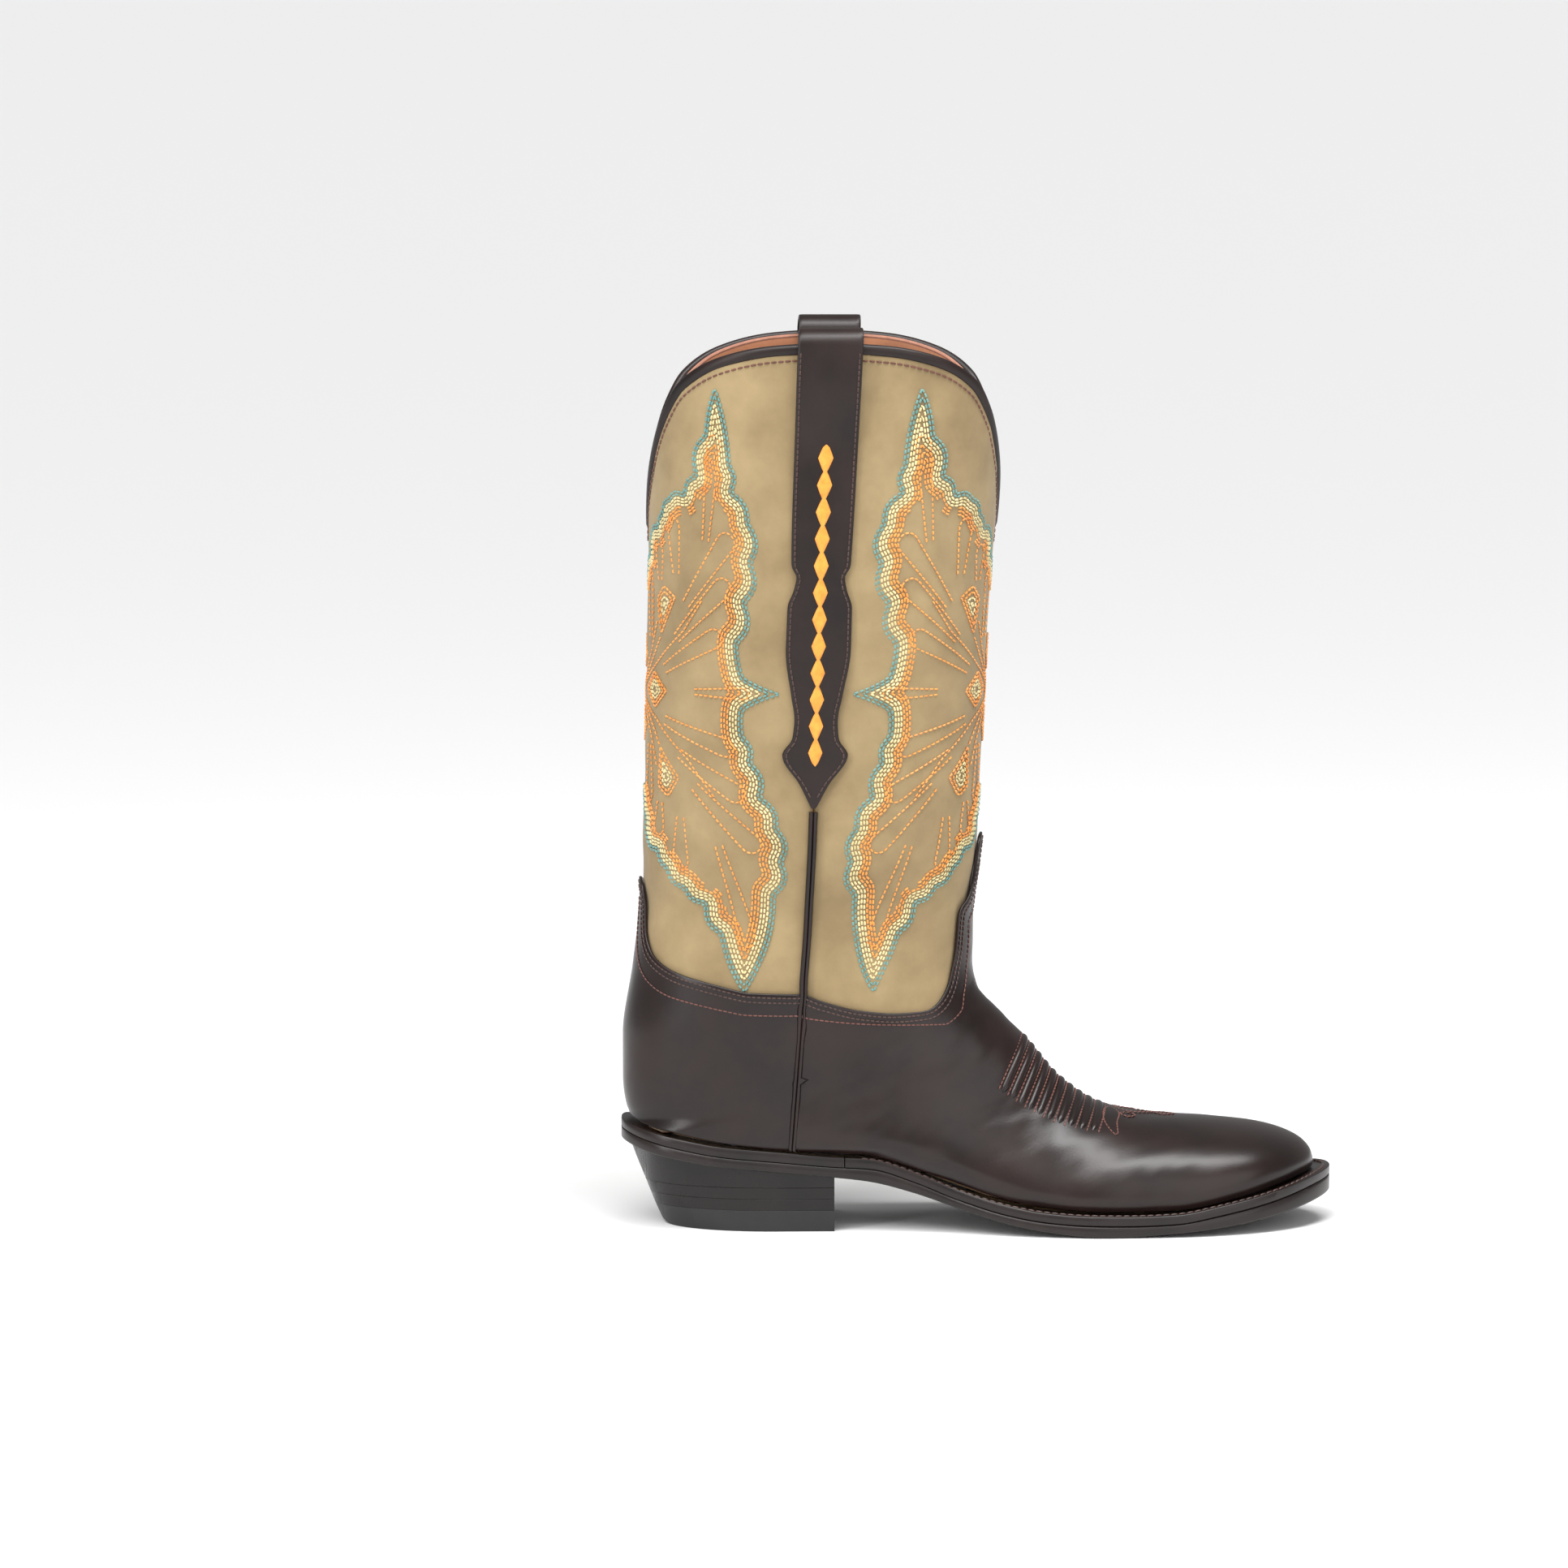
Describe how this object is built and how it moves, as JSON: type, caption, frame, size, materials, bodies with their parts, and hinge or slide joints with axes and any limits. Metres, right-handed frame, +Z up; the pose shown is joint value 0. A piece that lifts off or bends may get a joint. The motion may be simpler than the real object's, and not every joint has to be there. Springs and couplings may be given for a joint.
{
  "type": "cowboy boot",
  "caption": "Pull-on western boot for the right foot: tan nubuck leg with embroidered panels, dark vamp, counter and pull straps, leather sole with a low underslung heel.",
  "frame": {"origin": "on the ground, under the middle of the boot's bounding box", "axes": "+X towards the toe, +Y towards the inner (medial) side, +Z up the leg"},
  "size_m": [0.2695, 0.115, 0.342],
  "materials": {
    "tan_nubuck": "matt nubuck, mottled",
    "dark_leather": "smooth, semi-gloss dark brown",
    "cognac_lining": "soft, slightly wrinkled",
    "sole_leather": "stained, waxed",
    "heel_leather": "stained and polished edges",
    "heel_rubber": "matt",
    "insole_leather": "raw vegetable tanned",
    "shank_steel": "bare",
    "nail_steel": "bare",
    "cork": "granular cork",
    "stiffener_board": "hardened leather board",
    "sock_foam": "foam",
    "peg_wood": "bare wood",
    "orange_thread": "satin embroidery"
  },
  "bodies": {
    "root": {"counter_cover": "dark_leather", "counter_lining": "cognac_lining", "counter_stiffener": "stiffener_board", "forefoot_filler": "cork", "heel_lift_1": "heel_leather", "heel_lift_2": "heel_leather", "heel_nail_1": "nail_steel", "heel_nail_2": "nail_steel", "heel_nail_3": "nail_steel", "heel_nail_4": "nail_steel", "heel_nail_5": "nail_steel", "heel_pad": "sock_foam", "heel_seat_rand": "heel_leather", "heel_top_lift": "heel_rubber", "heel_wedge": "heel_leather", "insole": "insole_leather", "lining_back": "cognac_lining", "lining_front": "cognac_lining", "outsole": "sole_leather", "pull_strap_lateral": "dark_leather", "pull_strap_medial": "dark_leather", "shaft_back_panel": "tan_nubuck", "shaft_front_panel": "tan_nubuck", "shank": "shank_steel", "side_welt_lateral": "dark_leather", "side_welt_medial": "dark_leather", "sock_liner": "cognac_lining", "sole_peg_lateral_1": "peg_wood", "sole_peg_lateral_2": "peg_wood", "sole_peg_lateral_3": "peg_wood", "sole_peg_lateral_4": "peg_wood", "sole_peg_medial_1": "peg_wood", "sole_peg_medial_2": "peg_wood", "sole_peg_medial_3": "peg_wood", "sole_peg_medial_4": "peg_wood", "strap_embroidery_lateral": "orange_thread", "strap_embroidery_medial": "orange_thread", "toe_box": "stiffener_board", "top_piping_lateral": "dark_leather", "top_piping_medial": "dark_leather", "vamp": "dark_leather", "vamp_lining": "cognac_lining", "welt": "heel_leather"}
  },
  "joints": []
}
